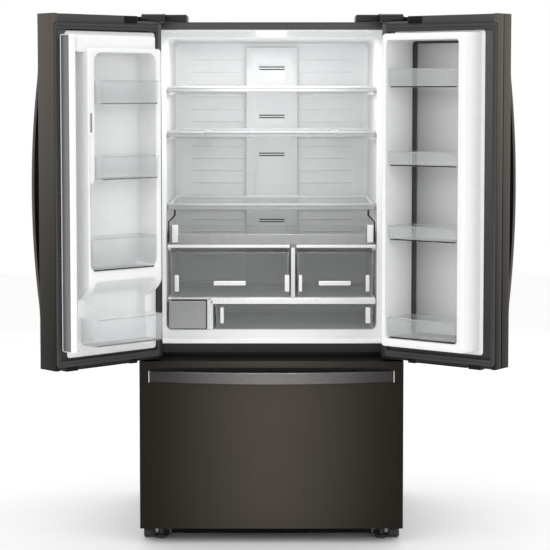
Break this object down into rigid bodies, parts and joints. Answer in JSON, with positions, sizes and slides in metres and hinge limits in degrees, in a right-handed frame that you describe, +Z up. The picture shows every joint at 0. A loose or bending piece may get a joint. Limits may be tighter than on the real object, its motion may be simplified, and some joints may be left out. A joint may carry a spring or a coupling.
{
  "type": "french door refrigerator",
  "caption": "Tall refrigerator with two side-hinged upper doors, one of them a door-in-door, a folding mullion, glass shelves, crispers and a pull-out bottom freezer drawer.",
  "frame": {"origin": "on the floor, under the middle of the box around the refrigerator with its doors open", "axes": "+Z up, -Y towards the person in front of it, +X to that person's right"},
  "size_m": [1.5904, 1.1603, 1.8],
  "materials": {
    "black_steel": "dark warm-black coated steel with a fine vertical brush, satin",
    "dark_paint": "dark grey textured paint",
    "dark_plastic": "dark grey moulded plastic",
    "handle_metal": "warm grey anodised, fine brush along the bow",
    "white_liner": "white moulded liner, soft gloss",
    "clear_plastic": "clear moulded plastic",
    "shelf_glass": "tempered glass in a pale frame",
    "gasket": "black magnetic door gasket",
    "steel": "plain zinc-grey steel",
    "grey_panel": "mid grey moulded panel",
    "foam": "rigid insulating foam",
    "motor_paint": "black gloss paint",
    "wheel": "dark moulded plastic",
    "lamp_lens": "frosted white lens"
  },
  "bodies": {
    "cabinet": {"outer_case": "dark_paint", "rear_panel": "dark_paint", "front_frame": "dark_paint", "cabinet_foam": "foam", "fridge_liner": "white_liner", "freezer_liner": "white_liner", "toe_grille": "dark_plastic", "air_duct_cover": "white_liner", "ceiling_light": "lamp_lens", "top_shelf": "shelf_glass", "left_half_shelf": "shelf_glass", "centre_shelf": "shelf_glass", "right_half_shelf": "shelf_glass", "lower_shelf": "shelf_glass", "crisper_cover": "shelf_glass", "pantry_cover": "white_liner", "rear_rollers": "wheel", "compressor": "motor_paint", "freezer_rails": "steel", "top_hinge_left": "steel", "top_hinge_right": "steel", "hinge_cover_left": "dark_plastic", "hinge_cover_right": "dark_plastic", "centre_hinge_left": "steel", "centre_hinge_right": "steel", "front_foot_left": "wheel", "front_foot_right": "wheel"},
    "left_door": {"left_door_shell": "black_steel", "left_door_liner": "white_liner", "left_door_gasket": "gasket", "left_door_handle": "handle_metal", "left_door_bin_1": "clear_plastic", "left_door_bin_2": "clear_plastic", "left_door_bin_3": "clear_plastic", "left_door_bin_4": "clear_plastic"},
    "mullion": {"mullion_bar": "steel"},
    "right_door": {"right_frame_shell": "black_steel", "right_door_box": "white_liner", "right_door_gasket": "gasket", "right_door_bin_1": "clear_plastic", "right_door_bin_2": "clear_plastic", "right_door_bin_3": "clear_plastic", "right_door_bin_4": "clear_plastic"},
    "outer_door": {"outer_door_shell": "black_steel", "outer_door_panel": "grey_panel", "outer_door_gasket": "gasket", "outer_door_handle": "handle_metal"},
    "freezer_drawer": {"freezer_front": "black_steel", "freezer_inner_panel": "white_liner", "freezer_gasket": "gasket", "freezer_handle": "handle_metal", "freezer_drawer_frame": "steel", "freezer_lower_basket": "clear_plastic", "freezer_upper_basket": "clear_plastic"},
    "freezer_slide_pair": {"freezer_slides": "steel"},
    "deli_tray": {"deli_tray": "clear_plastic"},
    "crisper_left": {"crisper_left": "clear_plastic"},
    "crisper_right": {"crisper_right": "clear_plastic"},
    "pantry_drawer": {"pantry_drawer": "clear_plastic"},
    "filter_cover": {"filter_cover": "grey_panel"}
  },
  "joints": [
    {"name": "left_door_hinge", "type": "hinge", "parent": "cabinet", "child": "left_door", "pos_m": [-0.4324, -0.2168, 1.2], "axis": [0, 0, -1], "range_deg": [-137, 0]},
    {"name": "mullion_fold", "type": "hinge", "parent": "left_door", "child": "mullion", "pos_m": [-0.67242, -0.53565, 1.2], "axis": [0, 0, -1], "range_deg": [0, 90]},
    {"name": "right_door_hinge", "type": "hinge", "parent": "cabinet", "child": "right_door", "pos_m": [0.4116, -0.2168, 1.2], "axis": [0, 0, 1], "range_deg": [-143, 0]},
    {"name": "outer_door_hinge", "type": "hinge", "parent": "right_door", "child": "outer_door", "pos_m": [0.40785, -0.19519, 1.2], "axis": [0, 0, 1], "range_deg": [0, 42]},
    {"name": "freezer_drawer_slide", "type": "slide", "parent": "cabinet", "child": "freezer_drawer", "axis": [0, -1, 0], "range_m": [0, 0.45]},
    {"name": "freezer_slide_pair_travel", "type": "slide", "parent": "cabinet", "child": "freezer_slide_pair", "axis": [0, -1, 0], "range_m": [0, 0.225]},
    {"name": "deli_tray_slide", "type": "slide", "parent": "cabinet", "child": "deli_tray", "axis": [0, -1, 0], "range_m": [0, 0.3]},
    {"name": "crisper_left_slide", "type": "slide", "parent": "cabinet", "child": "crisper_left", "axis": [0, -1, 0], "range_m": [0, 0.3]},
    {"name": "crisper_right_slide", "type": "slide", "parent": "cabinet", "child": "crisper_right", "axis": [0, -1, 0], "range_m": [0, 0.3]},
    {"name": "pantry_drawer_slide", "type": "slide", "parent": "cabinet", "child": "pantry_drawer", "axis": [0, -1, 0], "range_m": [0, 0.3]},
    {"name": "filter_cover_hinge", "type": "hinge", "parent": "cabinet", "child": "filter_cover", "pos_m": [-0.3039, -0.0568, 0.713], "axis": [1, 0, 0], "range_deg": [0, 80]}
  ],
  "couplings": [
    {"joint": "mullion_fold", "follows": "left_door_hinge", "ratio": -0.6569},
    {"joint": "freezer_slide_pair_travel", "follows": "freezer_drawer_slide", "ratio": 0.5}
  ]
}
